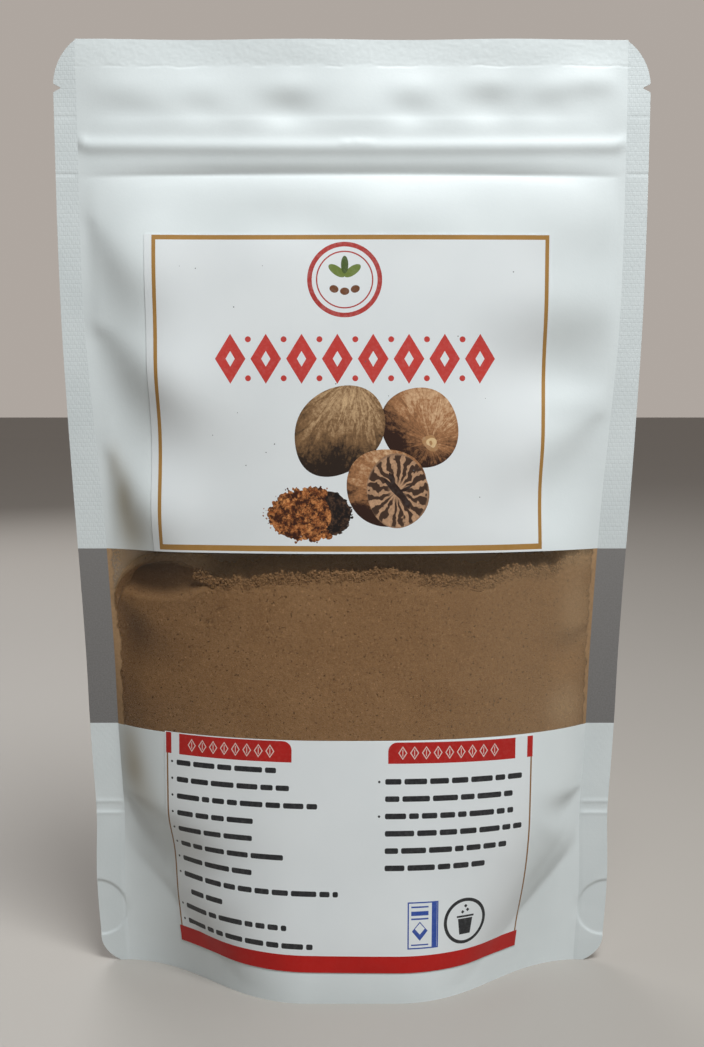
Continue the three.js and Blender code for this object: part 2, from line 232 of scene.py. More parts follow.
def panel_depth(facing, across, up):
    """How far a panel stands out from the seal plane: facing is -1 for the front and 1 for the back."""
    tucks, dents, puffs = (
        (FRONT_TUCKS, FRONT_DENTS, FRONT_PUFFS) if facing < 0 else (BACK_TUCKS, BACK_DENTS, BACK_PUFFS)
    )
    size, half = np.abs(across), half_panel(up)
    free = 1 - smooth(half - 4, half, size)
    depth = bulge(across, up)
    for puff in puffs:
        depth = depth + puff[4] * spread(across, up, puff) * free
    for tuck in tucks:
        depth = depth * (1 - tuck_share(tuck, across, up))
    for dent in dents:
        depth = depth * (1 - dent[4] * spread(across, up, dent))
    ridge_at = ZIP_RIDGE["up"] - ZIP_RIDGE["sag"] * np.cos(across / half * math.pi / 2)
    ridge_at = ridge_at + 0.8 * smooth(half - 2.6, half, size)
    ridge = np.exp(-(((up - ridge_at) / ZIP_RIDGE["half"]) ** 2))
    ends = 1 - smooth(half - 1.0, half - 0.1, size)
    depth = depth + ZIP_RIDGE["depth"] * ridge * ends
    rise = up - ZIP_CREASE["up"] + ZIP_CREASE["sag"] * (across / half) ** 2
    reach = np.where(rise > 0, ZIP_CREASE["above"], ZIP_CREASE["below"])
    depth = depth - ZIP_CREASE["depth"] * np.exp(-np.abs(rise) / reach) * np.clip(depth, 0, 1)
    weld = np.exp(-(((up - gusset_weld(across)) / 1.6) ** 2)) * smooth(GUSSET_FROM, 36, size)
    depth = depth - 0.08 * weld * free
    return np.maximum(depth, 0)


def wave(across, up):
    """The gentle wave of the sealed top."""
    return 0.6 * np.sin(2 * math.pi * across / 46) * smooth(192, HEIGHT, up)


def seal_extra(across, up):
    """What the seals add to the half thickness: the gusset inside them and the marks of the sealing bar."""
    def line(at, half):
        return np.exp(-(((up - at) / half) ** 2))

    spot = np.hypot(np.abs(across) - HALF_SHEET, up - WELD_SPOT["up"])
    pressed = 1 - smooth(WELD_SPOT["radius"] - 0.35, WELD_SPOT["radius"] + 0.35, spot)
    fold = 1 - smooth(GUSSET_TOP - 3.0, GUSSET_TOP - 2.2, up)
    bead = line(GUSSET_TOP, 0.5) + line(GUSSET_TOP - 2.6, 0.5)
    half = half_panel(up)
    on_side = smooth(half - 0.2, half + 1.0, np.abs(across))
    on_top = smooth(TOP_SEAL_FROM - 0.1, TOP_SEAL_FROM + 0.2, up)
    rows = up / KNURL["high"]
    course = np.floor(rows)
    bricks = np.cos(math.pi * (2 * across / KNURL["wide"] + course % 2)) * np.sin(math.pi * (rows - course))
    knurl = 0.8 * bricks + 0.5 * noise(across, up, 0.7, 6)
    knurl = knurl * (0.3 + 0.7 * smooth(GUSSET_TOP - 2, GUSSET_TOP + 10, up))
    leather = 0.6 * noise(across, up, 0.8, 7) + noise(across, up, 0.42, 8)
    step = up - TOP_SEAL_FROM - 0.25 * noise(across, up * 0, 2.5, 9)
    groove = np.exp(-((step / 0.22) ** 2)) * smooth(-0.6, 0.3, noise(across, up * 0, 4, 10))
    marks = line(ZIP_CREASE["up"], 0.35) + 0.6 * line(ZIP_TOP, 0.35)
    layers = 0.12 * fold + 0.1 * bead - 0.07 * marks
    side_relief = layers + 0.008 * knurl
    top_relief = 0.017 * leather * on_top - 0.05 * groove
    return on_side * side_relief + (1 - on_side) * top_relief - 0.24 * pressed


def raw_point(facing, across, up):
    x = drawn_in(across, up)
    for tuck in FRONT_TUCKS if facing < 0 else BACK_TUCKS:
        x = x - tuck[0] * TUCK_PULL * tuck_share(tuck, across, up) * bulge(across, up)
    y = wave(across, up) + facing * (SEAL_HALF + seal_extra(across, up) + panel_depth(facing, across, up))
    return np.stack(np.broadcast_arrays(x, y, up), axis=-1)


def panel_point(facing, across, up, lift=0.0):
    """Points on a panel's outer face, lifted off it along its normal."""
    across, up = np.broadcast_arrays(np.asarray(across, float), np.asarray(up, float))
    points = raw_point(facing, across, up)
    if np.ndim(lift) == 0 and lift == 0:
        return points
    reach = 0.3
    sideways = raw_point(facing, across + reach, up) - raw_point(facing, across - reach, up)
    upwards = raw_point(facing, across, up + reach) - raw_point(facing, across, up - reach)
    normals = np.cross(sideways, upwards) * (-facing)
    normals /= np.linalg.norm(normals, axis=-1, keepdims=True)
    return points + normals * np.asarray(lift)[..., None]


def edge_inset(corner, from_end):
    """How far a round corner cuts in; a round of less than 1 ends before the arc turns level."""
    v = corner["round"] * (1 - np.minimum(from_end / corner["up"], 1))
    whole = 1 - math.sqrt(1 - corner["round"] ** 2)
    return corner["across"] * (1 - np.sqrt(1 - v * v)) / whole


def half_width(up):
    """Half the flat sheet's width, with its round corners and tear notches."""
    notch = np.maximum(0, 1 - np.abs(up - TEAR_NOTCH["up"]) / TEAR_NOTCH["half"])
    corners = edge_inset(TOP_CORNER, HEIGHT - up) + edge_inset(BOTTOM_CORNER, up)
    return HALF_SHEET - TEAR_NOTCH["depth"] * notch - corners


# ---------------------------------------------------------------- meshes
def make_object(name, points, faces, materials, face_materials=None, sheet_uv=None, sharp=40):
    """A smooth object from points in millimetres. sheet_uv gives each point its place on a flat sheet."""
    mesh = bpy.data.meshes.new(name)
    mesh.from_pydata((np.asarray(points, float) * MM).tolist(), [], faces)
    for material in materials:
        mesh.materials.append(material)
    if face_materials is not None:
        mesh.polygons.foreach_set("material_index", np.asarray(face_materials, np.int32))
    if sheet_uv is not None:
        layer = mesh.uv_layers.new(name="sheet")
        corners = np.zeros(len(mesh.loops), np.int32)
        mesh.loops.foreach_get("vertex_index", corners)
        layer.data.foreach_set("uv", (np.asarray(sheet_uv, float)[corners] / SHEET_UV).ravel())
    mesh.polygons.foreach_set("use_smooth", np.ones(len(mesh.polygons), bool))
    mesh.set_sharp_from_angle(angle=math.radians(sharp))
    mesh.update()
    piece = bpy.data.objects.new(name, mesh)
    bpy.context.collection.objects.link(piece)
    return piece


def grid_faces(rows, columns, start=0, flip=False):
    index = start + np.arange(rows * columns).reshape(rows, columns)
    quads = np.stack([index[:-1, :-1], index[:-1, 1:], index[1:, 1:], index[1:, :-1]], axis=-1).reshape(-1, 4)
    return quads[:, ::-1] if flip else quads


def thick_sheet(name, outer, inner, uv, materials, outer_slot=None, inner_slot=1, flip=False):
    """A closed sheet between two grids of points. outer_slot gives each outer cell its material."""
    rows, columns = outer.shape[:2]
    count = rows * columns
    index = np.arange(count).reshape(rows, columns)
    ring = np.concatenate([index[0, :-1], index[:-1, -1], index[-1, :0:-1], index[:0:-1, 0]])
    after = np.roll(ring, -1)
    rim = np.stack([after, ring, ring + count, after + count], axis=-1)
    faces = np.concatenate([grid_faces(rows, columns), grid_faces(rows, columns, count, True), rim])
    cells = (rows - 1) * (columns - 1)
    outer_cells = np.zeros(cells, int) if outer_slot is None else np.asarray(outer_slot).ravel()
    slots = np.concatenate([outer_cells, np.full(cells, inner_slot), np.zeros(len(rim), int)])
    if flip:
        faces = faces[:, ::-1]
    points = np.concatenate([outer.reshape(-1, 3), inner.reshape(-1, 3)])
    uvs = np.concatenate([uv.reshape(-1, 2)] * 2)
    return make_object(name, points, faces.tolist(), materials, slots, uvs)


def mark(piece, name, values):
    """Gives each point of a mesh a value from 0 to 1 that its material reads."""
    layer = piece.data.attributes.new(name, "FLOAT", "POINT")
    layer.data.foreach_set("value", np.clip(values, 0, 1).ravel())


def mark_outside(piece, name, values):
    """The same for a thick sheet: its inner face is left at 0."""
    mark(piece, name, np.stack([values, values * 0]))


def steps(*stops):
    """Places from stop to stop: steps(0, (10, 2), (14, 0.5)) goes by 2 up to 10 and then by 0.5 up to 14."""
    places = [np.array([float(stops[0])])]
    for end, step in stops[1:]:
        start = places[-1][-1]
        count = max(1, round((end - start) / step))
        places.append(np.linspace(start, end, count + 1)[1:])
    return np.concatenate(places)


def ride(piece):
    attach(piece, "root")
    return piece


# ---------------------------------------------------------------- materials
def srgb(red, green, blue):
    """A colour as seen, from 0 to 255, as the linear values that Blender takes."""
    line = [c / 255 for c in (red, green, blue)]
    return tuple(c / 12.92 if c <= 0.04045 else ((c + 0.055) / 1.055) ** 2.4 for c in line) + (1.0,)


def times(colour, factor, lift=0.0):
    """A colour with its strength multiplied, and lifted towards white."""
    return tuple(min(1, c * factor + lift) for c in colour[:3]) + (1,)


class Value:
    """A number in a material's nodes: +, -, * and ** each add the node that works it out."""

    def __init__(self, look, socket):
        self.look = look
        self.socket = socket

    def __add__(self, other):
        return self.look.math("ADD", self, other)

    def __sub__(self, other):
        return self.look.math("SUBTRACT", self, other)

    def __rsub__(self, other):
        return self.look.math("SUBTRACT", other, self)

    def __mul__(self, other):
        return self.look.math("MULTIPLY", self, other)

    def __pow__(self, other):
        return self.look.math("POWER", self, other)


class Look:
    """A material being built, with short ways to add nodes."""

    def __init__(self, name, roughness, specular):
        self.material = bpy.data.materials.new(name)
        self.material.use_nodes = True
        self.tree = self.material.node_tree
        self.shader = self.tree.nodes["Principled BSDF"]
        self.output = self.tree.nodes["Material Output"]
        self.shader.inputs["Roughness"].default_value = roughness
        self.shader.inputs["Specular IOR Level"].default_value = specular

    def put(self, socket, value):
        value = value.socket if isinstance(value, Value) else value
        if isinstance(value, bpy.types.NodeSocket):
            self.tree.links.new(value, socket)
        else:
            socket.default_value = value

    def node(self, kind, inputs, output=0, **settings):
        """Adds a node and gives one of its outputs."""
        node = self.tree.nodes.new("ShaderNode" + kind)
        for setting, value in settings.items():
            setattr(node, setting, value)
        for socket, value in inputs.items():
            self.put(node.inputs[socket], value)
        return node.outputs[output]

    def number(self, *node, **settings):
        return Value(self, self.node(*node, **settings))

    def math(self, operation, a, b=0.0, clamp=False):
        return self.number("Math", {0: a, 1: b}, operation=operation, use_clamp=clamp)

    def here(self):
        return self.node("TexCoord", {}, "Object")

    def rise(self):
        return self.number("SeparateXYZ", {0: self.here()}, 2)

    def marked(self, name):
        """What a mesh says at each point, from 0 to 1, in the attribute of that name."""
        return self.number("Attribute", {}, "Fac", attribute_name=name)

    def grain(self, scale, detail=3.0, roughness=0.5, distortion=0.0, place=None):
        place = self.here() if place is None else place
        inputs = {"Vector": place, "Scale": scale, "Detail": detail, "Roughness": roughness,
                  "Distortion": distortion}
        return self.number("TexNoise", inputs, "Fac")

    def stretch(self, value, low, high, to_low=0.0, to_high=1.0):
        inputs = {"Value": value, "From Min": low, "From Max": high, "To Min": to_low, "To Max": to_high}
        return self.number("MapRange", inputs)

    def mix(self, share, a, b, blend="MIX"):
        return self.node("Mix", {0: share, 6: a, 7: b}, 2, data_type="RGBA", blend_type=blend)

    def colour(self, value):
        self.put(self.shader.inputs["Base Color"], value)

    def bump(self, height, distance, strength):
        normal = self.node("Bump", {"Height": height, "Distance": distance, "Strength": strength})
        self.put(self.shader.inputs["Normal"], normal)


def embossed(look):
    """The fine brick pattern that the sealing bars press, as heights from 0 to 1."""
    inputs = {"Vector": look.node("UVMap", {}, uv_map="sheet"), "Scale": 1.0, "Mortar Size": 0.0014,
              "Mortar Smooth": 0.9, "Brick Width": 0.0085, "Row Height": 0.0095, "Color1": (1, 1, 1, 1),
              "Color2": (1, 1, 1, 1), "Mortar": (0, 0, 0, 1)}
    return look.number("TexBrick", inputs)


def white_film(name, low, high, knurled=False):
    """Matt white film between two whites, with painted warm shade in its folds, and knurled on the seals with
    painted shade in the grooves.
    """
    look = Look(name, 0.42, 0.45)
    ground = look.mix(look.stretch(look.grain(60, 2), 0.35, 0.65), low, high)
    # Painted shade: a warm brown-grey multiplied in where the mesh marks a fold.
    ground = look.mix(look.marked("through"), ground, (0.59, 0.51, 0.41, 1), "MULTIPLY")
    look.put(look.shader.inputs["Roughness"], look.stretch(look.grain(900), 0.3, 0.7, 0.4, 0.52))
    if knurled:
        clear_of_foot = look.stretch(look.rise(), 0.04, 0.1, 0.15, 1.0)
        bricks = embossed(look) * clear_of_foot
        # Painted shade: the grooves between the knurl's bricks are drawn darker.
        ground = look.mix((clear_of_foot - bricks) * 0.08, ground, (0.4, 0.45, 0.46, 1))
        look.bump(bricks * 0.6 + look.grain(1500, 4, 0.7), 0.00006, 0.4)
    else:
        look.bump(look.grain(1600, 4, 0.6), 0.00004, 0.35)
    look.colour(ground)
    return look.material


def inner_film():
    """The grey, metallised inside of the film, which also shows through the clear band's side seals."""
    look = Look("inner_film", 0.36, 0.5)
    look.shader.inputs["Metallic"].default_value = 0.3
    ground = look.mix(look.stretch(look.rise(), 0.055, 0.1), (0.185, 0.18, 0.18, 1), (0.25, 0.24, 0.235, 1))
    threads = look.stretch(look.grain(3200, 2), 0.35, 0.65)
    look.colour(look.mix(threads * 0.32, ground, (0.33, 0.33, 0.33, 1)))
    look.bump(look.grain(2600, 3, 0.6), 0.00004, 0.4)
    return look.material


def clear_film():
    """Clear, glossy film with powder dust on its inside, and with painted sheen and painted light, where the
    mesh's attributes say so.
    """
    look = Look("clear_film", 0.7, 0.3)
    # The pale beige also serves the painted reflections and the painted light over the dark space above the
    # powder.
    look.colour(look.mix(look.marked("pale"), POWDER_MID, srgb(194, 163, 126)))
    clear = look.node("BsdfTransparent", {"Color": (0.985, 0.985, 0.98, 1)})
    gloss = look.node("BsdfGlossy", {"Color": (1, 1, 1, 1), "Roughness": 0.32})
    turned = look.number("LayerWeight", {"Blend": 0.5}, "Facing")
    film = look.node("MixShader", {0: turned**4.0 * 0.5 + 0.02, 1: clear, 2: gloss})
    flecks = look.stretch(look.grain(1300, 3, 0.6), 0.35, 0.65, 0.88, 1.08)
    # The dust mark carries real dust and also painted sheen and painted light.
    dust = look.math("MULTIPLY", look.marked("dust"), flecks, True)
    both = look.node("MixShader", {0: dust, 1: film, 2: look.shader.outputs[0]})
    look.put(look.output.inputs["Surface"], both)
    return look.material


def powder_look(name, dark, mid, light):
    """Ground spice: fine grains of three browns, darkened as painted shade where the mesh marks it."""
    look = Look(name, 0.9, 0.15)
    patches = look.stretch(look.grain(110), 0.3, 0.7)
    fine = look.stretch(look.grain(1350, 6, 0.85), 0.32, 0.68)
    specks = look.stretch(look.grain(1900, 1, 0.5, 0.5), 0.66, 0.72)
    pale = look.stretch(look.grain(2300, 1, 0.5, 0.3), 0.68, 0.74)
    ground = look.mix(patches * 0.6, mid, light)
    ground = look.mix(look.stretch(fine, 0, 1, 0.6, 0.0), ground, dark)
    ground = look.mix(specks * 0.85, ground, times(dark, 0.45))
    ground = look.mix(pale * 0.5, ground, times(light, 1.5))
    # Painted shade: darker where the mesh marks open, slipped or shaded places.
    look.colour(look.mix(look.marked("painted_shade") * 0.8, ground, times(dark, 0.4)))
    look.bump(look.grain(1500, 5, 0.7), 0.0003, 0.6)
    return look.material


def paper():
    look = Look("label_paper", 0.38, 0.5)
    cloudy = look.stretch(look.grain(50, 2), 0.3, 0.7)
    look.colour(look.mix(cloudy, (0.71, 0.745, 0.76, 1), (0.75, 0.783, 0.795, 1)))
    look.bump(look.grain(2500, 3, 0.6), 0.00002, 0.3)
    return look.material


def ink(name, red, green, blue, wear):
    """Flat printed ink, a little uneven as a desktop printer lays it."""
    look = Look("ink_" + name, 0.4, 0.45)
    colour = srgb(red, green, blue)
    thin = look.stretch(look.grain(1300, 3, 0.6), 0.45, 0.75, 0, wear)
    band = look.stretch(look.grain(160, 2), 0.3, 0.7)
    look.colour(look.mix(thin, look.mix(band, colour, times(colour, 0.88)), times(colour, 0.7, 0.3)))
    return look.material


def from_centre(look, centre, radii, turn=0.0):
    """A place on the sheet in a shape's own coordinates, where its outline is the unit circle."""
    inputs = {"Vector": look.node("UVMap", {}, uv_map="sheet"), "Rotation": (0, 0, math.radians(turn)),
              "Location": (centre[0] / SHEET_UV, centre[1] / SHEET_UV, 0),
              "Scale": (radii[0] / SHEET_UV, radii[1] / SHEET_UV, 1)}
    return look.node("Mapping", inputs, vector_type="TEXTURE")


def length_of(look, place):
    return look.number("VectorMath", {0: place}, "Value", operation="LENGTH")


def angle_of(look, place):
    across, up = (look.node("SeparateXYZ", {0: place}, k) for k in (0, 1))
    return look.math("ARCTAN2", up, across)


def polar_grain(look, length, angle, around, outwards, detail=4.0, distortion=0.4):
    """Noise drawn out along rays."""
    place = look.node("CombineXYZ", {0: angle * around, 1: length * outwards})
    return look.grain(1.0, detail, 0.6, distortion, place)


def drawn_nut(name, shape, colours, light, pole, rays, shaded, bright, rough=0.6):
    """A printed nut: lit from one side, with wrinkles that run out from its pole and a shaded hollow."""
    look = Look("ink_" + name, 0.42, 0.45)
    size = length_of(look, from_centre(look, **shape))
    plain = from_centre(look, shape["centre"], shape["radii"])
    facing = look.number("VectorMath", {0: plain, 1: (*light, 0)}, "Value", operation="DOT_PRODUCT")
    ray = from_centre(look, pole, (10, 10))
    length, angle = length_of(look, ray), angle_of(look, ray)
    wrinkle = polar_grain(look, length, angle, rays, 1.3)
    crease = look.stretch(look.math("ABSOLUTE", wrinkle - 0.5), 0.0, 0.07)
    fine = polar_grain(look, length, angle, rays * 2.2, 4.0)
    hollow = look.stretch(length_of(look, from_centre(look, *shaded)), 0.1, 1.0, 0.36, 0.0)
    shade = facing * 0.56 + bright - size**5.0 * 0.25 + (wrinkle - 0.5) * rough
    shade = shade - (1.0 - crease) * 0.2 + (fine - 0.5) * 0.55 - hollow
    shade = look.math("ADD", shade, (look.grain(1700, 3, 0.7) - 0.5) * 0.8, True)
    ramp = look.node("ValToRGB", {"Fac": shade})
    stops = ramp.node.color_ramp.elements
    stops[0].color = colours[0]
    stops[1].color = colours[2]
    stops.new(0.5).color = colours[1]
    look.colour(ramp)
    return look.material


def drawn_cut(name, shape, dark, pale):
    """A printed cut nut: dark, wavering strokes that run in from the rim over a pale ground."""
    look = Look("ink_" + name, 0.42, 0.45)
    unit = from_centre(look, **shape)
    length, angle = length_of(look, unit), angle_of(look, unit)
    warp = look.grain(2.6, 2, place=unit) * 14.0
    strokes = look.math("SINE", angle * 17.0 + warp) * 0.5
    broken = polar_grain(look, length, angle, 3.0, 4.0, 2.0, 0.6) * 1.5
    veins = look.stretch(strokes + broken, 0.54, 0.74)
    veins = veins * look.stretch(length, 0.14, 0.34) * look.stretch(length, 0.95, 1.01, 1.0, 0.3)
    shadow = look.stretch(polar_grain(look, length, angle, 3.4, 2.2, 3.0), 0.4, 0.62, 0.0, 0.35)
    mottled = look.stretch(look.grain(1300, 4, 0.75), 0.42, 0.6, 0.0, 0.5)
    ground = look.mix(mottled, look.mix(shadow, pale, times(pale, 0.5)), times(pale, 0.42))
    share = look.math("MAXIMUM", veins * 0.94, look.stretch(length, 0.95, 1.0, 0, 0.4))
    look.colour(look.mix(share, ground, dark))
    return look.material


def drawn_heap(name, dark, mid, light):
    """A printed heap of spice: dark between its lumps, with pale grains on them."""
    look = Look("ink_" + name, 0.45, 0.4)
    lumps = look.stretch(look.grain(620, 5, 0.8), 0.44, 0.6)
    grains = look.stretch(look.grain(1500, 4, 0.75), 0.42, 0.6)
    look.colour(look.mix(grains * look.stretch(lumps, 0.1, 0.9), look.mix(lumps, dark, mid), light))
    return look.material


POWDER_MID = (0.275, 0.149, 0.066, 1)
WHITE_FILM = white_film("white_film", (0.69, 0.742, 0.752, 1), (0.72, 0.772, 0.782, 1))
# The seals' film is a darker copy of the white film: painted shade standing in for the shading of its knurl.
SEAL_FILM = white_film("seal_film", (0.63, 0.68, 0.69, 1), (0.675, 0.725, 0.735, 1), knurled=True)
INNER_FILM = inner_film()
CLEAR_FILM = clear_film()
POWDER = powder_look("ground_nutmeg", (0.13, 0.062, 0.024, 1), POWDER_MID, (0.36, 0.208, 0.1, 1))


# ---------------------------------------------------------------- the film
def film_grid(shares, up):
    """Places on a panel between the side seals, as rows of (across, up)."""
    rows = np.broadcast_to(up[:, None], (len(up), len(shares)))
    return shares[None, :] * half_panel(rows), rows


# Painted warm shade in the front film's folds, multiplied into its colour: (across, up, wide, high, share).
PAINTED_FOLD_SHADE = [
    (-55, 117, 1.8, 4, 0.4), (-53, 110, 2.6, 5.5, 0.75), (-51, 102, 4.4, 6.5, 0.75),
    (-54.5, 54, 4, 5, 0.55), (-53.5, 47, 4.5, 5, 0.8), (-50, 41, 5, 4, 0.35),
]


def painted_fold_shade(across, up):
    return {"through": sum(spot[4] * spread(across, up, spot) for spot in PAINTED_FOLD_SHADE)}


def on_sheet(columns, rows):
    return np.stack([columns + HALF_SHEET, rows], axis=-1)


def film_panel(name, facing, shares, up, materials, marks=None):
    """One film between the side seals, as a closed thin sheet. marks gives what its material reads."""
    columns, rows = film_grid(shares, up)
    outer, inner = panel_point(facing, columns, rows), panel_point(facing, columns, rows, -FILM)
    inner_slot = len(materials) - 1
    piece = thick_sheet(name, outer, inner, on_sheet(columns, rows), materials, None, inner_slot, facing > 0)
    for key, values in (marks(columns, rows) if marks else {}).items():
        mark_outside(piece, key, values)
    return ride(piece)


def welded(name, columns, rows, materials, cell_slots=None, flip=False):
    """Both films as one sheet, as the seals hold them."""
    front, back = panel_point(-1, columns, rows), panel_point(1, columns, rows)
    piece = thick_sheet(name, front, back, on_sheet(columns, rows), materials, cell_slots, 0, flip)
    return ride(piece)


SEAL_LINE = TOP_SEAL_FROM - 0.8     # where the two films start to be drawn as one
FINE_FROM = 177                     # where the panels' rows get closer, for the zip


def white_panels():
    """The front above and below the clear band, and the whole back, which is returned."""
    both = [WHITE_FILM, INNER_FILM]
    front = np.linspace(-1, 1, 131)
    upper = steps(WINDOW_HIGH, (FINE_FROM, 1.0), (SEAL_LINE, 0.36))
    film_panel("front_film_upper", -1, front, upper, both, painted_fold_shade)
    film_panel("front_film_lower", -1, front, steps(0, (WINDOW_LOW, 0.75)), both, painted_fold_shade)
    whole = steps(0, (FINE_FROM, 1.2), (SEAL_LINE, 0.4))
    return film_panel("back_film", 1, np.linspace(-1, 1, 95), whole, both)


def top_seal():
    columns, rows = film_grid(np.linspace(-1, 1, 401), steps(SEAL_LINE, (HEIGHT, 0.22)))
    return welded("top_seal", columns, rows, [WHITE_FILM])


def side_seal(name, side):
    """Both films welded: white outside, and in the clear band the grey back film shows through."""
    up = steps(0, (BOTTOM_CORNER["up"], 0.3), (HEIGHT, 0.26))
    share = np.linspace(0, 1, 23)
    edge, inner = half_width(up)[:, None], half_panel(up)[:, None]
    columns = side * (inner + (edge - inner) * share[None, :])
    rows = np.broadcast_to(up[:, None], columns.shape)
    middle = (rows[:-1, :-1] + rows[1:, 1:]) / 2
    grey = (middle > WINDOW_LOW) & (middle < WINDOW_HIGH)
    return welded(name, columns, rows, [SEAL_FILM, INNER_FILM], grey.astype(int), side < 0)


def gusset():
    """The folded panel between the foot's two edges: up the front, across and down the back."""
    across = steps(-HALF_PANEL, (HALF_PANEL, 1.3))
    weld = gusset_weld(across)
    climb = np.linspace(0, 1, 8)[:, None]
    cross = np.linspace(0, 1, 16)[1:-1, None, None]
    sag = (GUSSET_SKIRT - 0.9) * (1 - smooth(GUSSET_FROM, 42, np.abs(across)))

    def layer(inwards, rise):
        front = panel_point(-1, across[None, :], weld[None, :] * climb, -inwards)
        back = panel_point(1, across[None, :], weld[None, :] * climb, -inwards)
        over = front[-1] * (1 - cross) + back[-1] * cross
        over[..., 2] += rise - sag * (4 * cross[..., 0] * (1 - cross[..., 0])) ** 0.6
        return np.concatenate([front, over, back[::-1]])

    lower, upper = layer(FILM + 0.04, 0), layer(2 * FILM + 0.04, FILM)
    uv = np.stack(np.meshgrid(across + HALF_SHEET, np.arange(len(lower)) * 3.0), axis=-1)
    return ride(thick_sheet("gusset", lower, upper, uv, [WHITE_FILM, INNER_FILM]))


def dust_and_painted_sheen(across, up):
    """How thick the dust on the clear film's inside is, and how pale, from 0 to 1; the same marks carry
    painted sheen on the film and painted light over the space above the powder.
    """
    from_edge = HALF_PANEL - np.abs(across)
    left = across < 0
    wide = np.where(left, 1.5 + 0.7 * smooth(86, 74, up), 1.4)
    wide = wide + 0.4 * noise(up, np.where(left, 0.0, 50.0), 2.1, 51) + 0.3 * noise(up, across, 0.8, 53)
    strip = np.where(left, 0.92, 0.86) * (1 - smooth(wide - 0.5, wide + 0.45, from_edge))
    over_edge = up - powder_edge(across)
    # Painted reflection: a pale haze above the powder's edge at the left, strongest towards the corner.
    corner = smooth(-0.5, 0.9, over_edge) * (0.2 * smooth(-20, -38, across) + 0.26 * smooth(-46, -56, across))
    edge = 0.12 * np.exp(-((over_edge / 1.6) ** 2)) * smooth(15, -20, across) * smooth(-36, -26, across)
    # Painted reflections: pale patches of sheen, mostly at the right.
    patches = [(53, 84, 4.5, 8, 0.16), (51, 62, 5, 5, 0.24), (-51.5, 60, 2.5, 4, 0.1), (54, 96, 6, 3, 0.14)]
    painted_sheen = sum(patch[4] * spread(across, up, patch) for patch in patches)
    # Painted light: a thin brown veil that lightens the shaded space above the powder.
    above = (0.085 + 0.03 * smooth(-10, 40, across)) * smooth(-0.5, 2, over_edge)
    # Painted sheen: the film over the powder is paler towards the right.
    painted_right_sheen = 0.22 * smooth(-5, 45, across) * (1 - smooth(-0.5, 2, over_edge))
    thick = np.maximum(np.maximum(strip, corner), 0.02 + edge + above + painted_right_sheen) + painted_sheen
    pale = 1.3 * corner + 3 * painted_sheen + 0.3 * smooth(-0.5, 2, over_edge) + 3.2 * painted_right_sheen
    pale = np.clip(pale, 0, 1) * (1 - strip) + strip * np.where(left, 0.5, 0.3)
    return {"dust": thick, "pale": pale}


def window_film():
    across = steps(-1, (-0.93, 0.0045), (0.93, 0.0078), (1, 0.0045))
    up = steps(WINDOW_LOW, (WINDOW_HIGH, 0.45))
    return film_panel("window_film", -1, across, up, [CLEAR_FILM], dust_and_painted_sheen)


# ---------------------------------------------------------------- the powder
POWDER_HALF = HALF_PANEL - 0.5
POWDER_GAP = 0.26                   # from the film's outer face to the powder pressed against it
POWDER_TOP = [
    (-58, 86.2), (-56.5, 88.4), (-55, 90.6), (-53, 92.4), (-50.5, 93.7), (-47, 94.5), (-42, 95),
    (-38, 94.5), (-34, 93), (-30, 91.8), (-26, 91.8), (-22, 92.2), (-14, 93), (1, 94), (8, 94.2),
    (14, 93.6), (20.5, 92.2), (28, 91.4), (34.5, 93), (38, 94.4), (45.5, 93.8), (49, 95.6), (54, 97.2),
    (58, 98),
]
# At the left the powder's top has slipped back from the film, above these heights, and lies in shadow; its
# colour is darkened there as well, as painted shade.
POWDER_SLIP = [
    (-58, 84), (-55, 87.8), (-50, 87.2), (-44, 87), (-38, 88), (-33, 89.8), (-27, 91.2), (-22, 92.4),
]


def powder_edge(across):
    """The height of the powder's crumbly top edge along the clear band."""
    kinds = ((0.4, 2.6, 31), (0.35, 1.1, 32), (0.3, 0.6, 33))
    rough = sum(high * noise(across, across * 0, size, seed) for high, size, seed in kinds)
    return along(POWDER_TOP, across) + rough * smooth(-44, -30, across)


def slipped(across, up):
    """Where the powder has slipped back from the film, from 0 to 1."""
    low = along(POWDER_SLIP, across)
    return smooth(low - 0.8, low + 2.8, up) * smooth(-24, -30, across)


def pits_and_painted_shade(across, up, below_edge):
    """Where the pressed surface is open, from 0 to 1: small holes and cracks along the top edge, with painted
    shade added in a pocket at the left and where the powder has slipped back. All of it sinks the surface a
    little and darkens its colour as painted shade.
    """
    holes = smooth(0.62, 0.8, noise(across, up, 0.4, 47)) * smooth(0.2, 0.7, noise(across, up, 4, 48))
    near = np.exp(-(((below_edge - 1.6 - 1.4 * noise(across, up * 0, 6, 49)) / 1.1) ** 2))
    ridged = 1 - np.abs(noise(across / 1.8, up, 0.6, 50)) * 5
    cracks = np.clip(ridged, 0, 1) * near * smooth(-0.2, 0.3, noise(across, up * 0, 4, 51))
    lone = np.exp(-(((across + 33) / 5) ** 2) - ((up - 84) / 3.5) ** 2)
    lone = lone + 0.7 * np.exp(-(((across + 43) / 3) ** 2) - ((up - 78) / 2) ** 2)
    loose = smooth(0.5, 0.75, noise(across / 1.4, up, 0.42, 53)) * np.clip(lone, 0, 1)
    open_share = np.maximum(np.maximum(0.45 * holes, 0.8 * cracks), 0.7 * loose) * smooth(-50, -40, across)
    # Painted shade in a pocket at the left, beside a fold of the film.
    painted_pocket_shade = 0.5 * spread(across, up, (-52, 79, 4.5, 6)) + 0.3 * spread(across, up, (-53, 67, 3.5, 10))
    return np.clip(np.maximum(open_share, np.maximum(painted_pocket_shade, 0.9 * slipped(across, up))), 0, 1)


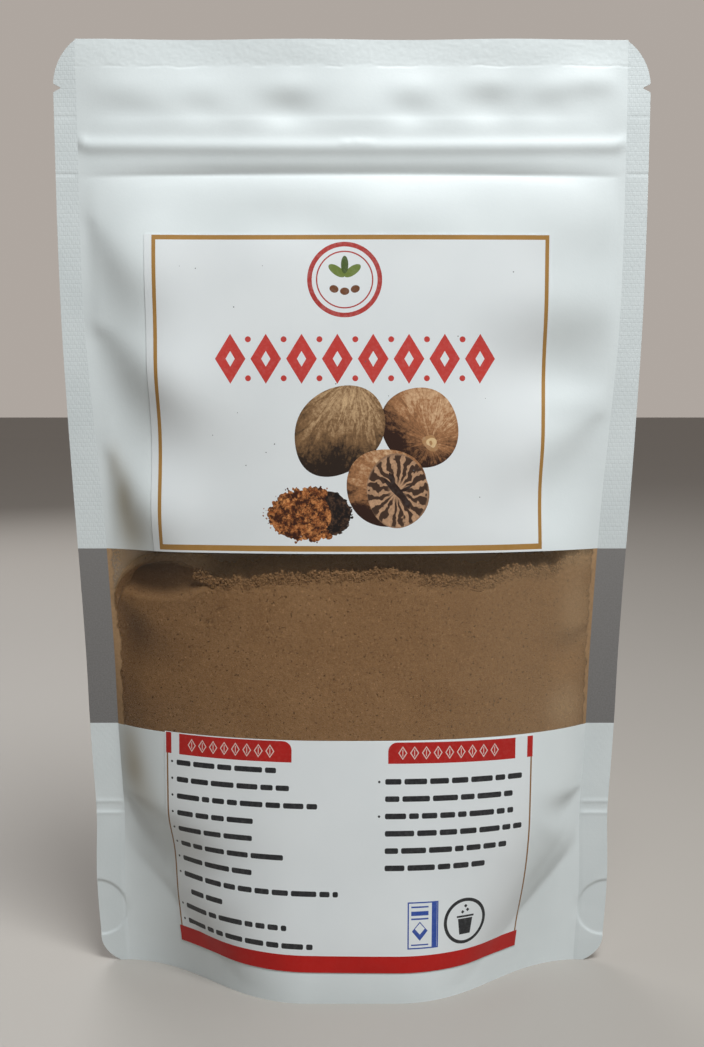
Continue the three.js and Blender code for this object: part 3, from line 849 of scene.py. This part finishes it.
def powder():
    """The contents as one closed body: pressed to the film in front, with a rough free top."""
    across = steps(-POWDER_HALF, (POWDER_HALF, 0.27))
    top = powder_edge(across)
    foot = gusset_weld(across) + 1.5
    band = WINDOW_LOW - 3
    low = foot + (band - foot) * np.linspace(0, 1, 14)[:, None]
    high = band + (top - band) * np.linspace(0, 1, 140)[1:, None]
    rows = np.concatenate([low, high])
    columns = np.broadcast_to(across[None, :], rows.shape)
    below_edge = top[None, :] - rows
    open_share = pits_and_painted_shade(columns, rows, below_edge)
    relief = 0.04 + 0.014 * noise(columns, rows, 1.1, 41) + 0.02 * noise(columns, rows, 0.5, 42)
    crumbly = np.abs(noise(columns, rows, 1.3, 43)) + 0.7 * np.abs(noise(columns, rows, 0.65, 44))
    crumbly = 0.6 + (1.5 * crumbly - 0.6) * smooth(-44, -30, columns)
    relief = relief + 0.25 * open_share + np.exp(-below_edge / 1.3) * np.clip(crumbly, 0, 2)
    relief = np.maximum(relief, 0) + 0.8 * smooth(56, 50, rows) + 1.7 * slipped(columns, rows)
    front = panel_point(-1, columns, rows, -(POWDER_GAP + relief))
    back_film = panel_point(1, columns, rows)[..., 1] - FILM
    front[..., 1] = np.minimum(front[..., 1], back_film - POWDER_GAP)
    back_rows = foot + (top + 2 - foot) * np.linspace(0, 1, 32)[:, None]
    back = panel_point(1, across[None, :], back_rows, -(FILM + 0.9))
    front_film = panel_point(-1, across[None, :], back_rows)[..., 1] + FILM
    back[..., 1] = np.maximum(back[..., 1], front_film + POWDER_GAP / 2)
    share = np.linspace(0, 1, 26)[1:-1, None, None]
    over = front[-1] * (1 - share) + back[-1] * share
    x, y, inwards = over[..., 0], over[..., 1], share[..., 0]
    heap = np.sin(inwards * math.pi) - 1.2 * np.minimum(inwards * 14, 1)
    rough = 0.5 * noise(x, y, 2.2, 45) + 0.35 * noise(x, y, 0.9, 46)
    over[..., 2] += heap + rough * np.minimum(inwards * 12, 1)
    under_share = np.linspace(0, 1, 7)[1:-1, None, None]
    under = back[0] * (1 - under_share) + front[0] * under_share
    loop = np.concatenate([front, over, back[::-1], under])
    count, width = loop.shape[:2]
    index = np.arange(count * width).reshape(count, width)
    wrapped = np.concatenate([index, index[:1]])
    quads = np.stack([wrapped[:-1, :-1], wrapped[:-1, 1:], wrapped[1:, 1:], wrapped[1:, :-1]], axis=-1)
    faces = quads.reshape(-1, 4).tolist() + [index[:, 0].tolist(), index[::-1, -1].tolist()]
    piece = make_object("ground_nutmeg", loop.reshape(-1, 3), faces, [POWDER], sharp=180)
    # Painted shade: the powder's colour is darkened a quarter on its free top, back and underside, and on its
    # front where it is open, slipped back, in the pocket at the left and just below its top edge.
    painted_shade_marks = np.full((count, width), 0.25)
    painted_shade_marks[:len(front)] = np.maximum(open_share, 0.25 * np.exp(-below_edge / 0.6))
    mark(piece, "painted_shade", painted_shade_marks)
    return ride(piece)


def crumb_shape(rng):
    """One small lump: a cube with its corners drawn in and pushed about."""
    corners = np.array([[x, y, z] for x in (-1, 1) for y in (-1, 1) for z in (-1, 1)], float)
    centres = np.array([[-1, 0, 0], [1, 0, 0], [0, -1, 0], [0, 1, 0], [0, 0, -1], [0, 0, 1]], float) * 1.35
    points = np.concatenate([corners * 0.78, centres])
    return points * (1 + 0.28 * (rng.random((14, 1)) - 0.5))


EDGE_CRUMBS, FILM_SPECKS = 3000, 260
CRUMB_QUADS = [(0, 1, 3, 2), (4, 6, 7, 5), (0, 4, 5, 1), (2, 3, 7, 6), (0, 2, 6, 4), (1, 5, 7, 3)]
CRUMB_FACES = [(quad[k], quad[(k + 1) % 4], 8 + n) for n, quad in enumerate(CRUMB_QUADS) for k in range(4)]


def crumb_spots(rng):
    """Places and sizes of the loose lumps: along the top edge, in small heaps, and as dust on the film."""
    across = rng.uniform(-36, 54, EDGE_CRUMBS)
    heap = np.exp(-(((across - 36) / 9) ** 2)) + 0.5 * np.exp(-(((across + 12) / 7) ** 2))
    sizes = 0.16 + 0.5 * rng.random(EDGE_CRUMBS) ** 3 + 0.35 * heap * rng.random(EDGE_CRUMBS) ** 2
    low = rng.uniform(-2.2, 0.1 + 0.6 * heap)
    spots = panel_point(-1, across, powder_edge(across) + low, -(POWDER_GAP + 0.1 + sizes * 0.55))
    spots[:, 1] += rng.random(EDGE_CRUMBS) ** 2 * 3 * smooth(-0.8, 0, low)
    spots[:, 2] += sizes * 0.2
    speck_across, speck_up = rng.uniform(-44, 56, FILM_SPECKS), rng.uniform(89, 97.4, FILM_SPECKS)
    specks = panel_point(-1, speck_across, speck_up, -(FILM + 0.08))
    return np.concatenate([spots, specks]), np.concatenate([sizes, rng.uniform(0.07, 0.17, FILM_SPECKS)])


def crumbs():
    """Loose lumps and grains that lie along the powder's top edge."""
    rng = np.random.default_rng(61)
    points, faces = [], []
    for spot, size in zip(*crumb_spots(rng)):
        turn, _ = np.linalg.qr(rng.normal(size=(3, 3)))
        faces += [tuple(len(points) + k for k in face) for face in CRUMB_FACES]
        points += list(crumb_shape(rng) @ turn * size * 0.5 * (0.8, 1, 0.85) + spot)
    piece = make_object("powder_crumbs", points, faces, [POWDER], sharp=180)
    return ride(piece)


# ---------------------------------------------------------------- shapes for the print
# Places on a sticker are (right, up) in millimetres from its bottom left corner.
def box(left, bottom, right, top, round_off=0.0, corners="abcd"):
    """A rectangle whose named corners are round: a bottom left, b bottom right, c top right, d top left."""
    outline = []
    spots = {"a": (left, bottom, 180), "b": (right, bottom, 270), "c": (right, top, 0), "d": (left, top, 90)}
    for key, (x, y, start) in spots.items():
        if round_off == 0 or key not in corners:
            outline.append((x, y))
            continue
        cx = x + (round_off if x == left else -round_off)
        cy = y + (round_off if y == bottom else -round_off)
        for k in range(7):
            angle = math.radians(start + 15 * k)
            outline.append((cx + round_off * math.cos(angle), cy + round_off * math.sin(angle)))
    return outline


def oval(x, y, wide, high=None, turn=0.0, count=48, wobble=0.0, seed=0):
    """An ellipse by its half sizes, turned in degrees, with a softly uneven outline if wobble."""
    high = wide if high is None else high
    turn = math.radians(turn)
    phases = np.random.default_rng(seed).random(3) * 6.28
    outline = []
    for k in range(count):
        angle = 2 * math.pi * k / count
        size = 1 + wobble * sum(math.sin((n + 2) * angle + phase) / (n + 2) for n, phase in enumerate(phases))
        a, b = wide * size * math.cos(angle), high * size * math.sin(angle)
        right, rise = a * math.cos(turn) - b * math.sin(turn), a * math.sin(turn) + b * math.cos(turn)
        outline.append((x + right, y + rise))
    return outline


def lozenge(x, y, wide, high):
    return [(x - wide, y), (x, y - high), (x + wide, y), (x, y + high)]


def ring(x, y, radius, width, colour, ground="paper"):
    return [(colour, oval(x, y, radius, count=72)), (ground, oval(x, y, radius - width, count=72))]


SHORT_WORD, LONG_WORD, WORD_SPACE = 1.8, 6.5, 0.65


def word_bars(left, right, base, high, seed):
    """A line of print as plain bars, one for each word."""
    rng = np.random.default_rng(seed)
    shapes, x = [], left
    while x < right - 1.0:
        end = min(x + rng.uniform(SHORT_WORD, LONG_WORD), right)
        if right - end < SHORT_WORD:
            end = right
        shapes.append(("black", box(x, base, end, base + high, high * 0.3)))
        x = end + WORD_SPACE
    return shapes


def frame_lines(left, bottom, right, top, widths, colour, ground):
    """A printed frame: an outer box with an inner box over it. widths are left, bottom, right, top."""
    inner = box(left + widths[0], bottom + widths[1], right - widths[2], top - widths[3])
    return [(colour, box(left, bottom, right, top)), (ground, inner)]


def emblem(x, y, radius):
    """A plain round badge: two rings, a sprig and three seeds."""
    shapes = ring(x, y, radius, 1.0, "emblem_red") + ring(x, y, radius - 1.9, 0.3, "emblem_red")
    for side in (-1, 1):
        shapes.append(("leaf", oval(x + side * 1.7, y + 1.9, 2.1, 0.95, side * 35, 24)))
    shapes.append(("leaf_dark", oval(x, y + 3.2, 0.8, 1.9, 0, 24)))
    for k in (-1, 0, 1):
        shapes.append(("seed", oval(x + 2.3 * k, y - 2.0 - 0.5 * (k == 0), 1.0, 0.8, 20 * k, 20)))
    return shapes


def ornament(left, right, middle):
    """A row of lozenges and dots where a title would stand."""
    shapes, count = [], 8
    pitch = (right - left) / count
    for k in range(count):
        x = left + pitch * (k + 0.5)
        shapes.append(("title_red", lozenge(x, middle, pitch * 0.43, 5.4)))
        shapes.append(("paper", lozenge(x, middle, pitch * 0.13, 1.7)))
        if k:
            shapes.append(("title_red", oval(x - pitch / 2, middle + 4.2, 0.65, count=16)))
            shapes.append(("title_red", oval(x - pitch / 2, middle - 4.2, 0.65, count=16)))
    return shapes


NUT_ONE = {"centre": (42.1, 26.7), "radii": (10.9, 8.8), "turn": 38}
NUT_TWO = {"centre": (59.7, 27.4), "radii": (8.8, 8.4), "turn": -70}
HALF_NUT = {"centre": (52.4, 14.4), "radii": (9.0, 8.3), "turn": -25}
CUT_FACE = {"centre": (54.8, 13.6), "radii": (6.8, 8.0)}
NUT_EYE = (61.9, 24.0)
HEAP = {"centre": (35.6, 8.6), "radii": (8.4, 5.4)}


def heap_crumbs(rng, low, high, reach):
    """Small round crumbs along a heap's edge, between two angles in degrees."""
    x, y = HEAP["centre"]
    wide, tall = HEAP["radii"]
    for _ in range(130):
        angle = math.radians(rng.uniform(low, high))
        spread = rng.uniform(0.8, 1.02) if rng.random() < 0.6 else rng.uniform(0.96, reach)
        spot = (x + wide * spread * math.cos(angle), y + tall * spread * math.sin(angle))
        size = rng.uniform(0.35, 0.85) if spread < 1.02 else rng.uniform(0.08, 0.3)
        if spot[1] - size > 1.9:
            yield oval(*spot, size, count=9, wobble=0.3, seed=int(angle * 50) % 97)


def nut_picture():
    def nut(colour, shape, seed):
        x, y = shape["centre"]
        return [(colour, oval(x, y, *shape["radii"], shape.get("turn", 0), 72, 0.05, seed))]

    shapes = nut("nut_two", NUT_TWO, 3)
    shapes.append(("nut_rim", oval(*NUT_EYE, 1.6, 1.75, 20, 24, 0.3, 7)))
    shapes.append(("nut_eye", oval(NUT_EYE[0] + 0.3, NUT_EYE[1] + 0.15, 0.95, 1.2, 20, 20, 0.3, 8)))
    shapes.append(("nut_rim", oval(NUT_EYE[0] + 0.1, NUT_EYE[1], 0.36, 0.5, 15, 12, 0.2, 9)))
    shapes += nut("nut_one", NUT_ONE, 4) + nut("half_nut", HALF_NUT, 5) + nut("cut_face", CUT_FACE, 6)
    x, y = CUT_FACE["centre"]
    shapes.append(("cut_slit", oval(x + 0.2, y - 0.4, 4.6, 0.75, -54, 36, 0.5, 9)))
    shapes.append(("cut_slit", oval(x - 1.2, y + 2.6, 1.5, 0.5, -80, 24, 0.4, 10)))
    shapes.append(("cut_slit", oval(x + 1.6, y + 0.4, 1.4, 0.45, 25, 24, 0.4, 12)))
    x, y = HEAP["centre"]
    wide, tall = HEAP["radii"]
    rng = np.random.default_rng(10)
    shapes.append(("heap_dark", oval(x + 4.0, y + 0.2, wide * 0.54, tall * 0.94, -12, 40, 0.1, 8)))
    shapes += [("heap_dark", crumb) for crumb in heap_crumbs(rng, -50, 48, 1.12)]
    shapes.append(("heap_light", oval(x - 1.8, y, wide * 0.76, tall * 0.97, 0, 48, 0.12, 11)))
    shapes += [("heap_light", crumb) for crumb in heap_crumbs(rng, 62, 300, 1.2)]
    return shapes


def upper_print():
    width, height = UPPER_LABEL["drawn"]
    shapes = frame_lines(1.6, 0.45, width - 0.4, height - 0.2, (0.85, 1.25, 0.85, 1.0), "gold", "paper")
    shapes += emblem(43.3, 59.2, 8.1)
    shapes += ornament(14.6, 76.6, 42.2)
    shapes += nut_picture()
    rng = np.random.default_rng(12)
    for _ in range(18):
        spot = (rng.uniform(6, 84), rng.uniform(12, 65))
        shapes.append(("speck", oval(*spot, rng.uniform(0.07, 0.16), count=6)))
    return shapes


def lower_print():
    width, height = LOWER_LABEL["drawn"]
    band, header = 3.7, (46.1, 50.8)
    shapes = [("band_red", box(0, 0, width, band))]
    for left, right in ((0.45, 0.86), (width - 0.86, width - 0.45)):
        shapes.append(("bronze", box(left, band, right, height - 4.6)))
    for left, right in ((0.3, 1.75), (width - 1.75, width - 0.3)):
        shapes.append(("header_red", box(left, height - 4.9, right, height - 0.1)))
    for left, right, corner in ((3.8, 30.0, "c"), (51.1, 80.2, "d")):
        shapes.append(("header_red", box(left, header[0], right, header[1], 2.0, corner)))
        middle = (header[0] + header[1]) / 2
        count = round((right - left - 5) / 2.6)
        for k in range(count):
            x = left + 3.2 + 2.6 * k
            shapes.append(("cream", lozenge(x, middle, 1.0, 1.5)))
            shapes.append(("header_red", lozenge(x, middle, 0.72, 1.14)))
            shapes.append(("cream", box(x - 0.09, middle - 0.75, x + 0.09, middle + 0.75)))
    ends = (26.6, 29.5, 35.7, 21.5, 21.3, 28.3, 21.2, 40.4, 13.9, 29.2, 35.0)
    for k, end in enumerate(ends):
        middle = 44.2 - 3.86 * k
        start = 4.9 if k == 8 else 3.1
        shapes += word_bars(start, end, middle - 0.6, 1.2, 70 + k)
        if k != 8:
            shapes.append(("black", oval(1.9, middle + 0.1, 0.28, count=12)))
    for k, end in enumerate((82.0, 79.7, 79.9, 82.2, 78.4, 73.2)):
        middle = 42.1 - 3.82 * k
        shapes += word_bars(50.5, end, middle - 0.6, 1.25, 90 + k)
        if k in (0, 2):
            shapes.append(("black", oval(49.2, middle, 0.28, count=12)))
    return shapes + card_sign(55.6, 5.2, 6.9, 10.3) + bin_sign(69.0, 10.3, 5.2)


def card_sign(left, bottom, wide, high):
    """A blue outlined card with bars and a chevron."""
    right, top = left + wide, bottom + high
    spine = right - 1.5
    shapes = frame_lines(left, bottom, right, top, (0.3, 0.3, 0.3, 0.3), "blue", "paper")
    shapes.append(("blue", box(spine, bottom + 0.1, right - 0.35, top - 0.1)))
    x0, x1 = left + 0.8, spine - 0.75
    for low, thick in ((top - 1.3, 0.35), (top - 3.0, 0.95), (top - 3.9, 0.35), (bottom + 0.75, 0.3)):
        shapes.append(("blue", box(x0, low, x1, low + thick)))
    x, y = (x0 + x1) / 2, bottom + 3.9
    shapes += [("blue", lozenge(x, y, 1.75, 2.1)), ("paper", lozenge(x, y + 0.5, 1.1, 1.25))]
    return shapes


def bin_sign(x, y, radius):
    """A black ring round a plain litter bin."""
    shapes = ring(x, y, radius, 0.75, "black")
    body = [(x - 1.35, y - 3.0), (x + 1.35, y - 3.0), (x + 1.8, y + 0.6), (x - 1.8, y + 0.6)]
    shapes.append(("black", body))
    shapes.append(("black", box(x - 2.1, y + 0.85, x + 2.1, y + 1.3)))
    for dx, dy in ((-0.7, 2.1), (0.5, 2.5), (0.0, 3.4)):
        shapes.append(("black", lozenge(x + dx, y + dy, 0.42, 0.42)))
    return shapes


# Plain inks: red, green and blue as seen, and how far each is worn.
PLAIN_INKS = {
    "gold": (168, 126, 66, 0.06), "bronze": (140, 102, 60, 0.1), "emblem_red": (176, 60, 55, 0.3),
    "title_red": (196, 62, 56, 0.14), "header_red": (178, 30, 25, 0.06), "band_red": (183, 12, 3, 0.02),
    "black": (38, 39, 42, 0.1), "blue": (48, 78, 160, 0.14), "cream": (222, 196, 188, 0.1),
    "leaf": (110, 128, 60, 0.2), "leaf_dark": (72, 92, 42, 0.2), "seed": (112, 70, 44, 0.2),
    "speck": (96, 98, 100, 0.2), "cut_slit": (48, 31, 25, 0.1), "nut_rim": (172, 130, 88, 0.2),
    "nut_eye": (216, 184, 136, 0.25),
}


def ink_looks():
    """Every look of the print, by name. Bare paper comes first."""
    looks = {"paper": paper()}
    for name, values in PLAIN_INKS.items():
        looks[name] = ink(name, *values)
    browns = (srgb(42, 30, 22), srgb(130, 98, 66), srgb(212, 178, 136))
    warm_browns = (srgb(48, 26, 17), srgb(160, 112, 74), srgb(228, 192, 152))
    looks["nut_one"] = drawn_nut(
        "nut_one", NUT_ONE, browns, light=(0.1, 0.55), pole=(45.5, 38.5), rays=5.5,
        shaded=((41.6, 20.6), (7.5, 6.2)), bright=0.6, rough=0.5)
    looks["nut_two"] = drawn_nut(
        "nut_two", NUT_TWO, warm_browns, light=(0.5, 0.6), pole=NUT_EYE, rays=4.5,
        shaded=((53.2, 24.6), (4.6, 7.5), 20), bright=0.5)
    looks["half_nut"] = drawn_nut(
        "half_nut", HALF_NUT, warm_browns, light=(-0.1, 0.7), pole=(70, 8), rays=9,
        shaded=((47.5, 8.0), (3.0, 4.0)), bright=0.47)
    looks["cut_face"] = drawn_cut("cut_face", CUT_FACE, srgb(48, 29, 22), srgb(198, 156, 122))
    looks["heap_light"] = drawn_heap("heap_light", srgb(56, 26, 13), srgb(146, 78, 37), srgb(216, 148, 88))
    looks["heap_dark"] = drawn_heap("heap_dark", srgb(20, 14, 13), srgb(42, 29, 25), srgb(88, 64, 48))
    return looks


INKS = ink_looks()
CELL = 1.6                          # the stickers' own mesh, fine enough to bend


def printed_label(name, label, shapes):
    """A sticker whose print is cut into its mesh: each face takes the ink of the topmost shape on it."""
    width, height = label["drawn"]
    points, edges, faces = [], [], []

    def outline(shape):
        start = len(points)
        points.extend(Vector(p) for p in shape)
        return list(range(start, len(points)))

    faces.append(outline(box(0, 0, width, height)))
    for _, shape in shapes:
        shape = [(min(max(x, 0), width), min(max(y, 0), height)) for x, y in shape]
        faces.append(outline(shape))
    for x in np.linspace(0, width, round(width / CELL) + 1)[1:-1]:
        edges.append(tuple(outline([(x, 0), (x, height)])))
    for y in np.linspace(0, height, round(height / CELL) + 1)[1:-1]:
        edges.append(tuple(outline([(0, y), (width, y)])))
    flat, _, cut, _, _, owners = delaunay_2d_cdt(points, edges, faces, 1, 1e-5)

    names = list(INKS)
    inks = ["paper"] + [colour for colour, _ in shapes]
    slots = [names.index(inks[max(owner)]) if owner else 0 for owner in owners]
    flat = np.array([tuple(p) for p in flat])
    turn = math.radians(label["tilt"])
    right, rise = (flat[:, 0] / width - 0.5) * label["width"], (flat[:, 1] / height - 0.5) * label["height"]
    across = label["across"] + right * math.cos(turn) - rise * math.sin(turn)
    up = label["up"] + label["height"] / 2 + right * math.sin(turn) + rise * math.cos(turn)
    face_side = panel_point(-1, across, up, GLUE + PAPER)
    glue_side = panel_point(-1, across, up, GLUE)

    count = len(flat)
    front = [tuple(face) for face in cut]
    under = [tuple(k + count for k in reversed(face)) for face in front]
    sides = dict.fromkeys(side for face in front for side in zip(face, face[1:] + face[:1]))
    rim = [(b, a, a + count, b + count) for a, b in sides if (b, a) not in sides]
    all_faces = front + under + rim
    all_slots = slots + [0] * (len(under) + len(rim))
    used = sorted(set(all_slots))
    all_slots = [used.index(slot) for slot in all_slots]
    materials = [INKS[names[slot]] for slot in used]
    uv = np.concatenate([flat, flat])
    piece = make_object(name, np.concatenate([face_side, glue_side]), all_faces, materials, all_slots, uv)
    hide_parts(name.replace("sticker", "label"))
    return ride(piece)


# ---------------------------------------------------------------- camera, light and floor
FLOOR_REACH = 3.0                   # metres
WALL_COLOUR = (0.50, 0.45, 0.41, 1)
CAMERA = {"back": 0.300, "up": 0.140, "tipped": 6.97, "lens": 45.9}


def stage():
    """A plain pale floor, and a studio that is bright behind the pouch and dim in front of it."""
    floor = bpy.data.meshes.new("floor")
    corners = [(FLOOR_REACH * x, FLOOR_REACH * y, 0) for x, y in ((-1, -1), (1, -1), (1, 1), (-1, 1))]
    floor.from_pydata(corners, [], [(0, 1, 2, 3)])
    look = Look("floor", 0.6, 0.5)
    look.colour(look.mix(look.grain(4, 2), (0.35, 0.33, 0.305, 1), (0.375, 0.352, 0.327, 1)))
    floor.materials.append(look.material)
    piece = bpy.data.objects.new("floor", floor)
    bpy.context.collection.objects.link(piece)

    world = bpy.data.worlds.new("studio")
    bpy.context.scene.world = world
    world.use_nodes = True
    tree = world.node_tree
    towards = tree.nodes.new("ShaderNodeSeparateXYZ")
    tree.links.new(tree.nodes.new("ShaderNodeTexCoord").outputs["Generated"], towards.inputs[0])
    behind = tree.nodes.new("ShaderNodeMapRange")
    behind.interpolation_type = "SMOOTHSTEP"
    tree.links.new(towards.outputs[1], behind.inputs["Value"])
    for socket, value in (("From Min", -0.1), ("From Max", 0.5), ("To Min", 0.14), ("To Max", 0.85)):
        behind.inputs[socket].default_value = value
    background = tree.nodes["Background"]
    background.inputs["Color"].default_value = WALL_COLOUR
    tree.links.new(behind.outputs[0], background.inputs["Strength"])


def area_light(name, place, aim, size, power, colour=(1, 1, 1)):
    light = bpy.data.lights.new(name, "AREA")
    light.energy = power
    light.size = size
    light.color = colour
    lamp = bpy.data.objects.new(name, light)
    lamp.location = place
    lamp.rotation_euler = (Vector(aim) - Vector(place)).to_track_quat("-Z", "Y").to_euler()
    bpy.context.collection.objects.link(lamp)


def camera():
    """At the distance and height that the pouch's outline asks for, tipped a little down."""
    data = bpy.data.cameras.new("camera")
    data.lens = CAMERA["lens"]
    data.clip_start = 0.01
    view = bpy.data.objects.new("camera", data)
    view.location = (0, -CAMERA["back"], CAMERA["up"])
    view.rotation_euler = (math.radians(90 - CAMERA["tipped"]), 0, 0)
    bpy.context.collection.objects.link(view)
    bpy.context.scene.camera = view


camera()
stage()
area_light("key", (0.165, -0.30, 0.68), (0, 0, 0.13), 0.32, 5.95, (0.97, 0.995, 1.0))
area_light("back", (-0.3, 0.7, 0.5), (0, 0, 0.1), 0.5, 2.5)

back_film = white_panels()
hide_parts("pouch")
for seal_name, seal_side in (("side_seal_left", -1), ("side_seal_right", 1)):
    side_seal(seal_name, seal_side)
top_seal()
gusset()
window_film()
powder()
crumbs()
printed_label("sticker_upper", UPPER_LABEL, upper_print())
printed_label("sticker_lower", LOWER_LABEL, lower_print())

bpy.context.scene.view_settings.view_transform = "Standard"
